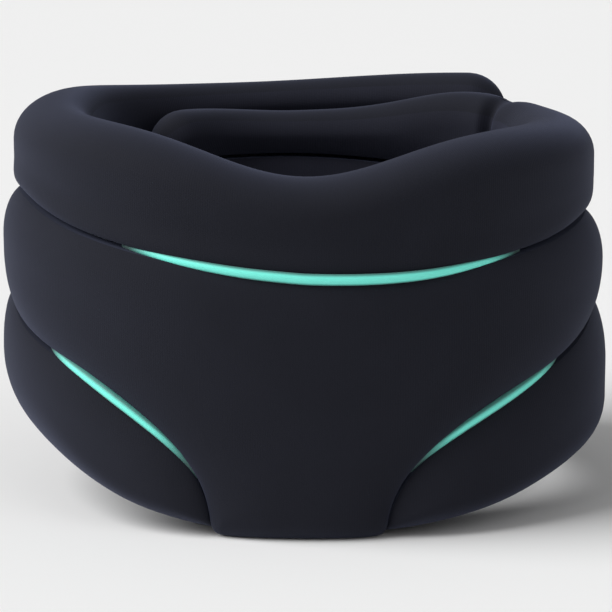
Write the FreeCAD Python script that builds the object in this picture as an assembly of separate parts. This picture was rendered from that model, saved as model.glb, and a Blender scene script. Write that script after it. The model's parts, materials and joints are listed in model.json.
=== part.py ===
import FreeCAD
import Part
import math
import os

# A soft cervical collar: one long padded strip that wraps the neck from tip to tip.
# Rolls of foam lie one above the other in a fabric cover, sewn together along the
# grooves, and the front drops into a bib under the chin. The strip's left end is the
# outer flap of the closure and its right end the inner flap; they overlap at the nape.
#
# The strip is described by s, the distance along its middle line from the front centre:
# s is negative on the left wing and positive on the right wing. n is the distance out
# from that middle line, and z is the height. The collar bends at four upright hinge
# lines, two on each wing, which stand for foam that bends all along.

# ---- driving dimensions, mm ----
FRONT_WALL = 25.0          # thickness of the padding round the front and sides
FLAP_WALL = 19.0           # thickness of the padding in the overlapping flaps
THIN_FROM = 115.0          # distance along the strip where the padding starts to thin
THIN_OVER = 60.0           # length over which it thins
SIDE_AT = 114.0            # distance along the strip to the side of the neck
SIDE_HINGE = 98.0          # distance along the strip to each side hinge line
FLAP_HINGE = 155.0         # distance along the strip to each flap hinge line
CUT_GAP = 0.6              # gap between the pieces on either side of a hinge line
AXIS_OUT = 0.8             # how far a hinge axis stands out of the outer face
TOP_HEIGHT = 108.7         # height of the rim at the sides
CHIN_DIP = 12.0            # how far the rim dips under the chin
CHIN_WIDTH = 35.5          # how wide that dip is
NAPE_DROP = 2.8            # how far the rim drops towards the flaps
LEFT_TURN = (1.8, -135.0, 38.0)    # rise of the rim where a wing turns to the nape:
RIGHT_TURN = (4.5, 176.0, 27.0)    # how high, where its middle is and how wide it is
TIP_LIFT = 2.3             # how far the outer flap's free end stands up
INNER_LIFT = 2.0           # how far the inner flap's free end stands up
LEAN = 0.0155              # fall of the strip per mm, from the outer flap to the inner one
SEAM_UPPER_FRONT = 69.0    # height of the upper seam at the front centre
SEAM_UPPER_RISE = 13.0     # its rise from there to the side
SEAM_UPPER_TILT = 2.6      # how much higher it runs on the left wing
SEAM_UPPER_NAPE = 11.0     # its further rise towards the flaps
SEAM_LOWER_LEFT = 57.5     # height of the lower seam at the left side
SEAM_LOWER_RIGHT = 55.3    # its height at the right side
SEAM_LOWER_BOW = (1.6, -59.0, 19.0)    # its extra rise on the left: how high, where, how wide
SEAM_LOWER_NAPE = 5.0      # its further rise towards the flaps
BIB_HALF = 20.5            # half the width of the bib's foot
FOOT_TRIM = 0.6            # padding trimmed off the bib's foot, which leaves it flat
BIB_POWER = 0.39           # how sharply the lower seam leaves the bib
SIDE_BOTTOM_LEFT = 23.0    # height of the bottom edge at the left side
SIDE_BOTTOM_RIGHT = 15.0   # its height at the right side
ARCH_POWER = 2.7           # how late the bottom edge lifts off beside the bib
LEFT_FOOT = -232.0         # place along the left wing where the bottom edge is lowest
RIGHT_FOOT = 222.0         # the same on the right wing
OUTER_TIP_RADIUS = 14.0    # rounding of the outer flap's corners
INNER_TIP_RADIUS = 10.0    # rounding of the inner flap's corners
SEAM_GAP = 0.8             # gap between two rolls at their seam
FABRIC = 1.1               # thickness of the laminated knit fabric
CLEARANCE = 0.25           # gap between fabric and foam
PANEL_GAP = 0.3            # gap between the outer panel and the liner, each side of the seam
ROLL_POWER = 4.0           # squareness of a roll's section
PIPING_RADIUS = 1.5        # radius of the coloured piping cord
PIPING_SIDES = 12          # points round a ring of it
PIPING_OUT = 9.8           # its distance out from the strip's middle line
UPPER_PIPING = (-53.0, 57.0)
LOWER_PIPING = (29.0, 75.0)
STRIP_THICK = 1.0          # thickness of the hook strip and of the loop strip
STRIP_LIFT = 0.2           # gap between such a strip and the fabric under it
HOOK_SPAN = (-291.0, -236.0)
LOOP_SPAN = (171.0, 262.0)
STATION_STEP = 14.0        # distance between the sections that the lofts pass through

# middle line of the wall seen from above, from the outer flap's tip to the inner one's
PLAN = [(63.9, 66.7), (35.3, 75), (0, 77), (-35, 70.8), (-62, 49), (-74.3, 10), (-68.6, -30), (-43, -58),
        (0, -69), (43, -58), (68.5, -30), (73.5, 8), (65.4, 37.3), (37.3, 52), (0, 54.6), (-28, 49.4),
        (-47, 34.4)]
FRONT_POINT = 8            # which of those points is the front centre


def smooth(t):
    """Rise gently from 0 to 1 as t goes from 0 to 1."""
    t = max(0.0, min(1.0, t))
    return t * t * (3.0 - 2.0 * t)


def make_plan():
    """The middle line as one edge, with its length before the front centre and in all."""
    curve = Part.BSplineCurve()
    curve.interpolate([FreeCAD.Vector(x, y, 0) for x, y in PLAN])
    front = curve.parameter(FreeCAD.Vector(PLAN[FRONT_POINT][0], PLAN[FRONT_POINT][1], 0))
    before = curve.length(curve.FirstParameter, front)
    whole = curve.length(curve.FirstParameter, curve.LastParameter)
    return curve.toShape(), before, whole


PLAN_EDGE, BEFORE_FRONT, WHOLE = make_plan()
LEFT_TIP = -BEFORE_FRONT
RIGHT_TIP = WHOLE - BEFORE_FRONT


def place(s, n, z):
    """The point at distance s along the strip, n out from its middle line, at height z."""
    along = max(0.0, min(WHOLE, s + BEFORE_FRONT))
    u = PLAN_EDGE.getParameterByLength(along)
    point = PLAN_EDGE.valueAt(u)
    way = PLAN_EDGE.tangentAt(u)
    return FreeCAD.Vector(point.x + way.y * n, point.y - way.x * n, z)


def from_tip(s):
    """Distance from s to the nearer tip of the strip."""
    return min(s - LEFT_TIP, RIGHT_TIP - s)


def tip_round(s):
    """How far a corner's rounding cuts into the edge at s."""
    radius = OUTER_TIP_RADIUS if s < 0 else INNER_TIP_RADIUS
    inside = radius - min(radius, from_tip(s))
    return radius - math.sqrt(radius ** 2 - inside ** 2)


def wall(s):
    """Thickness of the padding at s, which thins towards the flaps and rounds off at a tip."""
    thick = FRONT_WALL - (FRONT_WALL - FLAP_WALL) * smooth((abs(s) - THIN_FROM) / THIN_OVER)
    inside = INNER_TIP_RADIUS - min(INNER_TIP_RADIUS, from_tip(s))
    return thick * math.sqrt(1.0 - (inside / INNER_TIP_RADIUS) ** 2)


def rise(s, bump):
    """A smooth rise of an edge: how high it is, where its middle is and how wide it is."""
    height, middle, width = bump
    return height * math.exp(-((s - middle) / width) ** 2)


def top_edge(s):
    dip = CHIN_DIP * math.exp(-(s / CHIN_WIDTH) ** 2)
    drop = NAPE_DROP * smooth((abs(s) - SIDE_AT) / 100.0)
    lift = rise(s, LEFT_TURN) + rise(s, RIGHT_TURN)
    lift += TIP_LIFT * smooth((-s - 215.0) / 75.0) + INNER_LIFT * smooth((s - 225.0) / 40.0)
    return TOP_HEIGHT - dip - drop + lift - LEAN * s - tip_round(s)


def upper_seam(s):
    climb = math.sin(math.pi / 2 * min(abs(s), SIDE_AT) / SIDE_AT) ** 1.6
    nape = smooth((abs(s) - SIDE_AT) / 120.0)
    tilt = (1.0 - smooth(s / 42.0)) * (1.0 - smooth((-s - 130.0) / 80.0))
    height = SEAM_UPPER_FRONT + SEAM_UPPER_RISE * climb + SEAM_UPPER_NAPE * nape
    return height + SEAM_UPPER_TILT * tilt - LEAN * s


def lower_seam(s):
    """Height of the lower seam, which runs down beside the bib to the ground."""
    if abs(s) <= BIB_HALF:
        return -FOOT_TRIM
    run = (min(abs(s), SIDE_AT) - BIB_HALF) / (SIDE_AT - BIB_HALF)
    side = SEAM_LOWER_LEFT if s < 0 else SEAM_LOWER_RIGHT
    nape = SEAM_LOWER_NAPE * smooth((abs(s) - SIDE_AT) / 100.0)
    return side * run ** BIB_POWER + nape + rise(s, SEAM_LOWER_BOW)


def bottom_edge(s):
    """The bottom edge is low at the front and at the nape, and arches over the shoulders."""
    side = SIDE_BOTTOM_LEFT if s < 0 else SIDE_BOTTOM_RIGHT
    if abs(s) <= SIDE_AT:
        return side * math.sin(math.pi / 2 * abs(s) / SIDE_AT) ** ARCH_POWER
    foot = abs(LEFT_FOOT if s < 0 else RIGHT_FOOT)
    turn = math.cos(math.pi / 2 * min(1.0, (abs(s) - SIDE_AT) / (foot - SIDE_AT)))
    return side * turn ** 2 + tip_round(s)


ROLLS = {
    "upper": (upper_seam, top_edge),
    "middle": (lower_seam, upper_seam),
    "lower": (bottom_edge, lower_seam),
}
# where the outer panel starts and ends round each roll's section, in degrees from straight out:
# it wraps over the rim on the upper roll and under the foot on the others
PANEL_WRAP = {"upper": (-90, 125), "middle": (-125, 90), "lower": (-125, 90)}


def section_size(roll, s):
    """Half thickness, half height and middle height of a roll's section at s."""
    low_edge, high_edge = ROLLS[roll]
    low = low_edge(s)
    high = high_edge(s) - SEAM_GAP / 2
    if roll != "lower" and low > 0:
        low += SEAM_GAP / 2
    if roll == "upper":
        high += SEAM_GAP / 2
    half = wall(s) / 2
    if roll == "lower" and abs(s) < SIDE_AT:
        half *= 0.62 + 0.38 * smooth((abs(s) - BIB_HALF) / 26.0)
    return half, (high - low) / 2, (high + low) / 2


def on_section(roll, s, angle, inset):
    """A point of the roll's rounded section, at an angle from straight out, inset from its skin."""
    half, tall, mid = section_size(roll, s)
    side = round(math.cos(math.radians(angle)), 12)
    up = round(math.sin(math.radians(angle)), 12)
    n = math.copysign(abs(side) ** (2 / ROLL_POWER), side) * max(0.3, half - inset)
    rise = math.copysign(abs(up) ** (2 / ROLL_POWER), up) * max(0.3, tall - inset)
    return place(s, n, mid + rise)


def arc_edge(roll, s, start, end, inset):
    """The stretch of the section between two angles, as one smooth edge."""
    count = max(4, round(abs(end - start) / 15))
    points = [on_section(roll, s, start + (end - start) * k / count, inset) for k in range(count + 1)]
    curve = Part.BSplineCurve()
    curve.interpolate(points)
    return curve.toShape()


def foam_wire(roll, s):
    inset = FABRIC + CLEARANCE
    return Part.Wire([arc_edge(roll, s, -90, 90, inset), arc_edge(roll, s, 90, 270, inset)])


def skin_wire(roll, s, start, end):
    """A fabric panel's section: out along the skin, across its edge, and back along its inside."""
    outer = arc_edge(roll, s, start, end, 0.0)
    inner = arc_edge(roll, s, end, start, FABRIC)
    across = Part.makeLine(outer.lastVertex(True).Point, inner.firstVertex(True).Point)
    back = Part.makeLine(inner.lastVertex(True).Point, outer.firstVertex(True).Point)
    return Part.Wire([outer, across, inner, back])


def stations(start, end):
    """Places of the sections between two ends, closer where the bib or a tip turns sharply."""
    count = max(3, math.ceil((end - start) / STATION_STEP))
    places = [start + (end - start) * k / count for k in range(count + 1)]
    if start < 0 < end:
        close = [0, 9, 15, 18, 20.5, 22, 24.5, 29, 36]
        places = [s for s in places if abs(s) > 42]
        places += close + [-s for s in close if s > 0]
    elif abs(start) < 42 or abs(end) < 42:
        sign = 1 if start > 0 else -1
        places += [sign * s for s in (24.5, 29, 36)]
        places = [s for s in places if abs(s) > 42 or abs(s) in (24.5, 29, 36)]
    for tip, inward in ((LEFT_TIP, 1), (RIGHT_TIP, -1)):
        if min(abs(start - tip), abs(end - tip)) < 2:
            places = [s for s in places if abs(s - tip) > 18]
            places += [tip + inward * d for d in (0.8, 2.2, 5.0, 9.5, 14.0)]
    return sorted(set(places))


def loft(wires):
    solid = Part.makeLoft(wires, True, False)
    if solid.Volume < 0:
        solid.reverse()
    return solid


def flat_foot(solid):
    """Trim off whatever bulges below the ground, which leaves a flat face to stand on."""
    if solid.BoundBox.ZMin > -0.001:
        return solid
    ground = Part.makeBox(400, 400, 20, FreeCAD.Vector(-200, -200, -20))
    return max(solid.cut(ground).Solids, key=lambda piece: piece.Volume)


def roll_pieces(roll, start, end):
    """The foam, the outer panel and the liner of one stretch of a roll."""
    places = stations(start, end)
    wrap_low, wrap_high = PANEL_WRAP[roll]
    gap = math.degrees(PANEL_GAP / (FRONT_WALL / 2))
    foam_places = [s for s in places if from_tip(s) > 2]
    foam = loft([foam_wire(roll, s) for s in foam_places])
    cover = loft([skin_wire(roll, s, wrap_low, wrap_high) for s in places])
    liner = loft([skin_wire(roll, s, wrap_high + gap, wrap_low + 360 - gap) for s in places])
    return {"foam": flat_foot(foam), "cover": flat_foot(cover), "liner": flat_foot(liner)}


SEGMENTS = {
    "left_end": (LEFT_TIP + 0.8, -FLAP_HINGE - CUT_GAP / 2),
    "left_side": (-FLAP_HINGE + CUT_GAP / 2, -SIDE_HINGE - CUT_GAP / 2),
    "front": (-SIDE_HINGE + CUT_GAP / 2, SIDE_HINGE - CUT_GAP / 2),
    "right_side": (SIDE_HINGE + CUT_GAP / 2, FLAP_HINGE - CUT_GAP / 2),
    "right_end": (FLAP_HINGE + CUT_GAP / 2, RIGHT_TIP - 0.8),
}
LOWER_START = 24.5         # distance from the front centre to where the lower rolls begin


def make_rolls():
    """Every roll cut at the hinge lines; the bib parts the lower roll at the front."""
    nodes = {}
    for segment, (start, end) in SEGMENTS.items():
        for roll in ROLLS:
            if segment == "front" and roll == "lower":
                stretches = {"front_left": (start, -LOWER_START), "front_right": (LOWER_START, end)}
            else:
                stretches = {segment: (start, end)}
            for name, (low, high) in stretches.items():
                for layer, solid in roll_pieces(roll, low, high).items():
                    nodes[f"{roll}_{layer}_{name}"] = solid
    return nodes


def piping(seam, start, end):
    """A soft cord laid in a groove, thinner towards its ends, where the seam swallows it."""
    count = max(6, math.ceil(abs(end - start) / 7))
    rings = []
    for k in range(count + 1):
        s = start + (end - start) * k / count
        centre = place(s, PIPING_OUT, seam(s))
        out = place(s, PIPING_OUT + 1, seam(s)) - centre
        ahead = place(s + 0.5, PIPING_OUT, seam(s + 0.5)) - place(s - 0.5, PIPING_OUT, seam(s - 0.5))
        up = out.cross(ahead).normalize()
        radius = PIPING_RADIUS * (0.45 + 0.55 * math.sin(math.pi * k / count) ** 0.5)
        turns = [2 * math.pi * c / PIPING_SIDES for c in range(PIPING_SIDES)]
        curve = Part.BSplineCurve()
        curve.interpolate([centre + out * (radius * math.cos(a)) + up * (radius * math.sin(a))
                           for a in turns], PeriodicFlag=True)
        rings.append(Part.Wire([curve.toShape()]))
    return loft(rings)


def closure_strip(side, roll, span, margin):
    """A hook or loop strip sewn flat on one side of a roll: side is +1 outside and -1 inside."""
    count = max(3, math.ceil((span[1] - span[0]) / STATION_STEP))
    wires = []
    for k in range(count + 1):
        s = span[0] + (span[1] - span[0]) * k / count
        half, tall, mid = section_size(roll, s)
        near = side * (half + STRIP_LIFT)
        far = side * (half + STRIP_LIFT + STRIP_THICK)
        reach = tall - margin
        corners = [(near, -reach), (far, -reach), (far, reach), (near, reach), (near, -reach)]
        wires.append(Part.makePolygon([place(s, n, mid + rise) for n, rise in corners]))
    return loft(wires)


def make_trim():
    return {
        "piping_upper": piping(upper_seam, *UPPER_PIPING),
        "piping_lower_left": piping(lower_seam, -LOWER_PIPING[1], -LOWER_PIPING[0]),
        "piping_lower_right": piping(lower_seam, *LOWER_PIPING),
        "hook_strip_middle": closure_strip(-1, "middle", HOOK_SPAN, 5.0),
        "hook_strip_lower": closure_strip(-1, "lower", HOOK_SPAN, 11.0),
        "loop_strip_middle": closure_strip(1, "middle", LOOP_SPAN, 4.0),
        "loop_strip_lower": closure_strip(1, "lower", LOOP_SPAN, 9.0),
    }


def centre_of(solids):
    """Middle of the collar seen from above, on the ground that it stands on."""
    box = FreeCAD.BoundBox()
    for solid in solids:
        box.add(solid.optimalBoundingBox())
    print("size", round(box.XLength, 2), round(box.YLength, 2), round(box.ZMax, 2))
    return FreeCAD.Vector(box.Center.x, box.Center.y, 0)


nodes = make_rolls()
nodes.update(make_trim())
origin = centre_of(nodes.values())
os.makedirs("parts", exist_ok=True)
for name, solid in nodes.items():
    solid.translate(-origin)
    solid.exportStep(f"parts/{name}.step")
    print(name, solid.ShapeType, solid.isValid(), round(solid.Volume))
foot = place(0, 0, 0) - origin
print("foot", round(foot.x, 3), round(foot.y, 3))
for name, s in (("left_side", -SIDE_HINGE), ("left_end", -FLAP_HINGE),
                ("right_side", SIDE_HINGE), ("right_end", FLAP_HINGE)):
    axis = place(s, wall(s) / 2 + AXIS_OUT, 0) - origin
    print("hinge", name, round(axis.x, 3), round(axis.y, 3))
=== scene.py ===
# %% [markdown]
# # A soft cervical collar
# The collar is one long padded strip that wraps the neck. Rolls of foam lie one above
# the other inside a smooth knitted cover, and the stitching between them pulls the cover
# in to a groove. At the front the middle roll drops into a bib, and bright piping is laid
# in the grooves there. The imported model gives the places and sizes, and this script gives
# the look.

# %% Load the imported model
import json
import math
import bpy
import numpy as np
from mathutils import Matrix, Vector


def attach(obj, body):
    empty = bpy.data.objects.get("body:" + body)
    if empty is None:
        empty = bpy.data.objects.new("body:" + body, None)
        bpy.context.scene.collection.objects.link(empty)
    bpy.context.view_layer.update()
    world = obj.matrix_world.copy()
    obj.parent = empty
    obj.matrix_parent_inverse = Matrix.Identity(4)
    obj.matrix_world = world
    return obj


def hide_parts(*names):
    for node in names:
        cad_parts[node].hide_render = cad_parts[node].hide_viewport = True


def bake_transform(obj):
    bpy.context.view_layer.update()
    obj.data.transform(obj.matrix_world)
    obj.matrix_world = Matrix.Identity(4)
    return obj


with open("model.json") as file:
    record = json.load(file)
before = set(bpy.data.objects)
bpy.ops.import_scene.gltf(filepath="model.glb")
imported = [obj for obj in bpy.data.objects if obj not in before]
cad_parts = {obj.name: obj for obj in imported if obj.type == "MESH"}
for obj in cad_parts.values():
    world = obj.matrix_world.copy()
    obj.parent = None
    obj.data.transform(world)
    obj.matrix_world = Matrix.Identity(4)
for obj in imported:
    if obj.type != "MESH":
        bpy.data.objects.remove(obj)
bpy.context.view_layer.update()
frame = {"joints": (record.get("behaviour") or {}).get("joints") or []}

joints = {joint["name"]: joint for joint in frame["joints"]}

# %% [markdown]
# ## The camera
# A long lens from nearly a metre away, a little above the collar, shows its front and its
# back at nearly one scale. A short lens close by would make the bib look too big. The
# camera comes first, so that every look below is seen from it.

# %% Camera
CAMERA_AWAY = 0.85  # metres from the collar's middle
CAMERA_RISE = 9.8  # degrees above level
CAMERA_LENS = 170.4  # mm, on a 36 mm sensor
AIM = Vector((0.001, 0.0, 0.050))


def add_object(name, data):
    """A new object in the scene."""
    thing = bpy.data.objects.new(name, data)
    bpy.context.scene.collection.objects.link(thing)
    return thing


tilt = math.radians(CAMERA_RISE)
camera_data = bpy.data.cameras.new("camera")
camera_data.lens = CAMERA_LENS
camera_data.sensor_width = 36.0
camera = add_object("camera", camera_data)
camera.location = AIM + CAMERA_AWAY * Vector((0.0, -math.cos(tilt), math.sin(tilt)))
camera.rotation_euler = (math.radians(90) - tilt, 0.0, 0.0)
bpy.context.scene.camera = camera
print("camera at", [round(c, 3) for c in camera.location])

# %% [markdown]
# ## The strip
# Everything on the collar is placed by s, the distance along the strip from the front
# centre, n, the distance out from the middle of the padding, and z, the height. All
# three are in millimetres until a mesh is made. A smooth curve through a few points of
# the middle line, as seen from above, turns s and n into a place.

# %% The middle line seen from above
MM = 0.001
PLAN = np.array([
    (63.9, 66.7), (35.3, 75), (0, 77), (-35, 70.8), (-62, 49), (-74.3, 10), (-68.6, -30), (-43, -58),
    (0, -69), (43, -58), (68.5, -30), (73.5, 8), (65.4, 37.3), (37.3, 52), (0, 54.6), (-28, 49.4),
    (-47, 34.4)], float)
FRONT_POINT = 8  # the point at the front centre
SIDE_HINGE, FLAP_HINGE = 98.0, 155.0  # distance along the strip to its two pairs of hinges


def natural_curve(knots, values, at):
    """A smooth cubic curve through the values at the knots, read at the places wanted."""
    count = len(knots)
    gap = np.diff(knots)
    system = np.zeros((count, count))
    right = np.zeros((count, values.shape[1]))
    system[0, 0] = system[-1, -1] = 1.0
    for k in range(1, count - 1):
        system[k, k - 1:k + 2] = gap[k - 1], 2 * (gap[k - 1] + gap[k]), gap[k]
        right[k] = 6 * ((values[k + 1] - values[k]) / gap[k] - (values[k] - values[k - 1]) / gap[k - 1])
    bend = np.linalg.solve(system, right)
    cell = np.clip(np.searchsorted(knots, at) - 1, 0, count - 2)
    width = gap[cell][:, None]
    after = (at - knots[cell])[:, None]
    before = width - after
    return (bend[cell] * before ** 3 + bend[cell + 1] * after ** 3) / (6 * width) \
        + (values[cell] / width - bend[cell] * width / 6) * before \
        + (values[cell + 1] / width - bend[cell + 1] * width / 6) * after


def distances(points):
    """The distance travelled along a line at each of its points."""
    return np.concatenate([[0], np.cumsum(np.linalg.norm(np.diff(points, axis=0), axis=1))])


knots = distances(PLAN)
fine = np.linspace(0, knots[-1], 6001)
line = natural_curve(knots, PLAN, fine)
along = distances(line)
along -= np.interp(knots[FRONT_POINT], fine, along)
way = np.gradient(line, along, axis=0)
way /= np.linalg.norm(way, axis=1)[:, None]
LEFT_TIP, RIGHT_TIP = along[0], along[-1]
print(f"strip length {RIGHT_TIP - LEFT_TIP:.0f} mm")


# %% Places on the strip
def plan_place(s, n):
    """x and y, in mm, of the point n out from the middle line at s."""
    x = np.interp(s, along, line[:, 0]) + n * np.interp(s, along, way[:, 1])
    y = np.interp(s, along, line[:, 1]) - n * np.interp(s, along, way[:, 0])
    return x, y


FULL_HALF = 12.5  # half the padding's thickness from side hinge to side hinge
AXIS_OUT = 0.8  # how far a hinge axis stands out of the padding
hinge_x, hinge_y = plan_place(-SIDE_HINGE, FULL_HALF + AXIS_OUT)
hinge_place = joints["left_side_flex"]["pos_m"]
SHIFT_X = hinge_place[0] / MM - hinge_x
SHIFT_Y = hinge_place[1] / MM - hinge_y
print(f"the packed model's origin is at {-SHIFT_X:.2f}, {-SHIFT_Y:.2f} mm in the plan")


def place(s, n, z):
    """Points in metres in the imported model's frame."""
    s, n, z = np.broadcast_arrays(np.asarray(s, float), n, z)
    x, y = plan_place(s, n)
    return np.stack([(x + SHIFT_X) * MM, (y + SHIFT_Y) * MM, z * MM], -1)


def place_all(points):
    """The same for points given as (s, n, z)."""
    return place(*np.moveaxis(points, -1, 0))


# %% [markdown]
# ## Edges and seams
# Four lines run along the strip: the rim, the upper seam, the lower seam and the bottom
# edge. The rim dips under the chin. The upper seam climbs from the front to the nape.
# The lower seam comes down steeply on both sides of the bib, and the bottom edge arches
# over the shoulders.

# %% Heights of the edges and seams
SIDE_AT = 114.0  # distance along the strip to the side of the neck
TOP_HEIGHT = 108.7
CHIN_DIP, CHIN_WIDTH = 12.0, 35.5
NAPE_DROP = 2.8  # how far the rim falls behind the sides
NAPE_ZONE = SIDE_AT, 100.0  # where that is on the strip: a zone is its start and its length
LEFT_TURN = (1.8, -135.0, 38.0)  # rise of the rim where a wing turns to the nape:
RIGHT_TURN = (4.5, 174.0, 24.0)  # how high, where its middle is and how wide it is
RIM_FOLD = (-1.3, 156.0, 4.5)  # dip of the rim at the fold inside the right wing
OUTER_LIFT, OUTER_ZONE = 2.3, (215.0, 75.0)  # rise of the outer flap's free end, and where
INNER_LIFT, INNER_ZONE = 2.0, (225.0, 40.0)  # the same of the inner flap's
LEAN = 0.0155  # fall of the strip per mm, from the outer flap to the inner one
SEAM_UPPER_FRONT, SEAM_UPPER_RISE, SEAM_UPPER_NAPE = 68.8, 13.0, 11.0
SEAM_LEFT_BOW, SEAM_RIGHT_BOW = (2.0, -92.0, 20.0), (1.4, 92.0, 18.0)
SEAM_UPPER_POWER = 1.6  # how late the upper seam starts to climb
SEAM_NAPE_ZONE = SIDE_AT, 120.0  # where it climbs on to the nape
SEAM_UPPER_TILT = 2.6  # how much higher it runs on the left wing
TILT_ZONE, TILT_END = (-8.0, 46.0), (130.0, 80.0)  # where that fades at the front and to the nape
SEAM_LOWER_LEFT, SEAM_LOWER_RIGHT, SEAM_LOWER_NAPE = 57.5, 55.3, 5.0
SEAM_LOWER_BOW = (1.6, -59.0, 19.0)  # its extra rise on the left: how high, where, how wide
BIB_HALF = 20.5  # half the width of the bib's foot
BIB_POWER = 0.39  # how sharply the lower seam leaves the bib
BIB_SLANT = 0.05  # how much the bib's sides lean outwards
BIB_SKEW, SKEW_HEIGHT = 2.7, 25.0  # how much further out its left corner is, and up to where
BIB_CORNER = 3.5  # rounding of the foot's corners
SIDE_BOTTOM_LEFT, SIDE_BOTTOM_RIGHT = 21.6, 15.0  # height of the bottom edge at the sides
ARCH_POWER = 2.45  # how late the bottom edge lifts off beside the bib
LEFT_FOOT, RIGHT_FOOT = -232.0, 222.0  # where the bottom edge is down again at the nape
OUTER_TIP_RADIUS, INNER_TIP_RADIUS = 12.5, 12.0  # rounding of the flaps' corners
TIP_TAPER = 10.0  # length over which the padding thins to a tip
FLAP_THINNER, THINNER_ZONE = 6.0, (115.0, 60.0)  # how much thinner the flaps are, and from where
LEAST_HALF = 0.04  # the share of the thickness that is left at a tip


def smooth(t):
    """From 0 at t = 0 to 1 at t = 1, with an even turn at both ends."""
    t = np.clip(t, 0.0, 1.0)
    return t * t * (3.0 - 2.0 * t)


def ramp(s, zone):
    """0 before a zone and 1 beyond it."""
    start, length = zone
    return smooth((s - start) / length)


def tip_round(s):
    """How far a flap's rounded corner cuts into the edge at s, in mm."""
    radius = np.where(s < 0, OUTER_TIP_RADIUS, INNER_TIP_RADIUS)
    inside = radius - np.minimum(radius, np.minimum(s - LEFT_TIP, RIGHT_TIP - s))
    return radius - np.sqrt(np.maximum(0.0, radius ** 2 - inside ** 2))


def half_wall(s):
    """Half the padding's thickness: thinner in the flaps, and rounded off at the tips."""
    thick = 2 * FULL_HALF - FLAP_THINNER * ramp(np.abs(s), THINNER_ZONE)
    inside = 1 - np.minimum(1, np.minimum(s - LEFT_TIP, RIGHT_TIP - s) / TIP_TAPER)
    return thick / 2 * np.maximum(LEAST_HALF, np.sqrt(np.maximum(0.0, 1 - inside ** 2)))


def rise(s, bump):
    """A smooth rise of an edge: how high it is, where its middle is and how wide it is."""
    height, middle, width = bump
    return height * np.exp(-((s - middle) / width) ** 2)


# %% The rim and the upper seam
def top_edge(s):
    """Height of the rim at s."""
    dip = CHIN_DIP * np.exp(-(s / CHIN_WIDTH) ** 2)
    drop = NAPE_DROP * ramp(np.abs(s), NAPE_ZONE)
    lift = rise(s, LEFT_TURN) + rise(s, RIGHT_TURN) + rise(s, RIM_FOLD)
    lift += OUTER_LIFT * ramp(-s, OUTER_ZONE) + INNER_LIFT * ramp(s, INNER_ZONE)
    return TOP_HEIGHT - dip - drop + lift - LEAN * s - tip_round(s)


def upper_seam(s):
    """Height of the seam between the upper and middle rolls."""
    climb = np.sin(np.pi / 2 * np.minimum(np.abs(s), SIDE_AT) / SIDE_AT) ** SEAM_UPPER_POWER
    nape = ramp(np.abs(s), SEAM_NAPE_ZONE)
    tilt = (1.0 - ramp(s, TILT_ZONE)) * (1.0 - ramp(-s, TILT_END))
    height = SEAM_UPPER_FRONT + SEAM_UPPER_RISE * climb + SEAM_UPPER_NAPE * nape
    height += rise(s, SEAM_LEFT_BOW) + rise(s, SEAM_RIGHT_BOW)
    return height + SEAM_UPPER_TILT * tilt - LEAN * s


print(f"the rim is {float(top_edge(0.0)):.1f} mm up at the front centre")


# %% The lower seam and the bottom edge
bib_climb = np.linspace(0, 1, 400)  # from the foot up to the side
bib_height = bib_climb * SEAM_LOWER_LEFT
bib_corner = BIB_CORNER * (1 - np.sqrt(1 - np.maximum(0, 1 - bib_height / BIB_CORNER) ** 2))
right_run = BIB_HALF - bib_corner + (SIDE_AT - BIB_HALF) * (
    (1 - BIB_SLANT) * bib_climb ** (1 / BIB_POWER) + BIB_SLANT * bib_climb)
left_run = right_run + BIB_SKEW * np.exp(-(bib_height / SKEW_HEIGHT) ** 2)


def lower_seam(s):
    """The seam beside the bib and on to the nape; it is on the ground under the bib."""
    left = SEAM_LOWER_LEFT * np.interp(-s, left_run, bib_climb) + rise(s, SEAM_LOWER_BOW)
    right = SEAM_LOWER_RIGHT * np.interp(s, right_run, bib_climb)
    front = np.where(s < 0, left, right)
    return front + SEAM_LOWER_NAPE * ramp(np.abs(s), NAPE_ZONE)


def bottom_edge(s):
    """Height of the collar's lower edge: it arches over the shoulders and is low at the nape."""
    side = np.where(s < 0, SIDE_BOTTOM_LEFT, SIDE_BOTTOM_RIGHT)
    front = side * np.sin(np.pi / 2 * np.minimum(np.abs(s), SIDE_AT) / SIDE_AT) ** ARCH_POWER
    foot = np.where(s < 0, -LEFT_FOOT, RIGHT_FOOT)
    turn = np.cos(np.pi / 2 * np.clip((np.abs(s) - SIDE_AT) / (foot - SIDE_AT), 0, 1))
    return np.where(np.abs(s) <= SIDE_AT, front, side * turn ** 2 + tip_round(s))


# %% [markdown]
# ## A padded roll
# Real foam is cut as a plain block and the cover rounds its corners, so a roll is flat in
# its middle and falls away in a quarter ellipse towards each seam. It could be inflated
# in a simulation, but the cover here is tight and shows no wrinkles, so the rounding is
# worked out from each point's distance to its seams. That keeps the grooves crisp and
# the bib's corners true. The rings of points run all round the roll: up the outer side,
# over the top, down the inner side and back underneath.

# %% How the cover rounds off
SEAM_GAP = 1.3  # mm between two rolls at their seam
SEAM_DEPTH, SEAM_REACH = 4.6, 14.0
SIDE_REACH = 10.5  # the upper roll's reach at the sides, where it is rounder
LOWER_REACH = 11.5  # the lower roll's reach below its seam
SIDE_DEPTH = 2.6  # how much deeper the upper seam pulls in at the sides
RIM_REACH = 10.5  # how far below the rim the rounding starts
BIB_REACH, LEFT_REACH, RIGHT_REACH = 7.0, 19.5, 12.5  # the same above the bottom edge
FOOT_DEPTH, FOOT_REACH = 6.0, 7.5  # how the bib's foot rounds off
INSET_LEFT, INSET_RIGHT = 3.8, 2.5  # how far the upper roll leans in towards the neck
FLARE_LEFT, FLARE_RIGHT = 0.1, 1.7  # how far the lower roll stands out below its seam
FOLD_INSIDE = (3.0, 158.5, 2.7)  # fold inside the right wing: how deep, where, how wide
INNER_SHARE = 0.8  # how deep the grooves are inside, as a share of those outside
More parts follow.
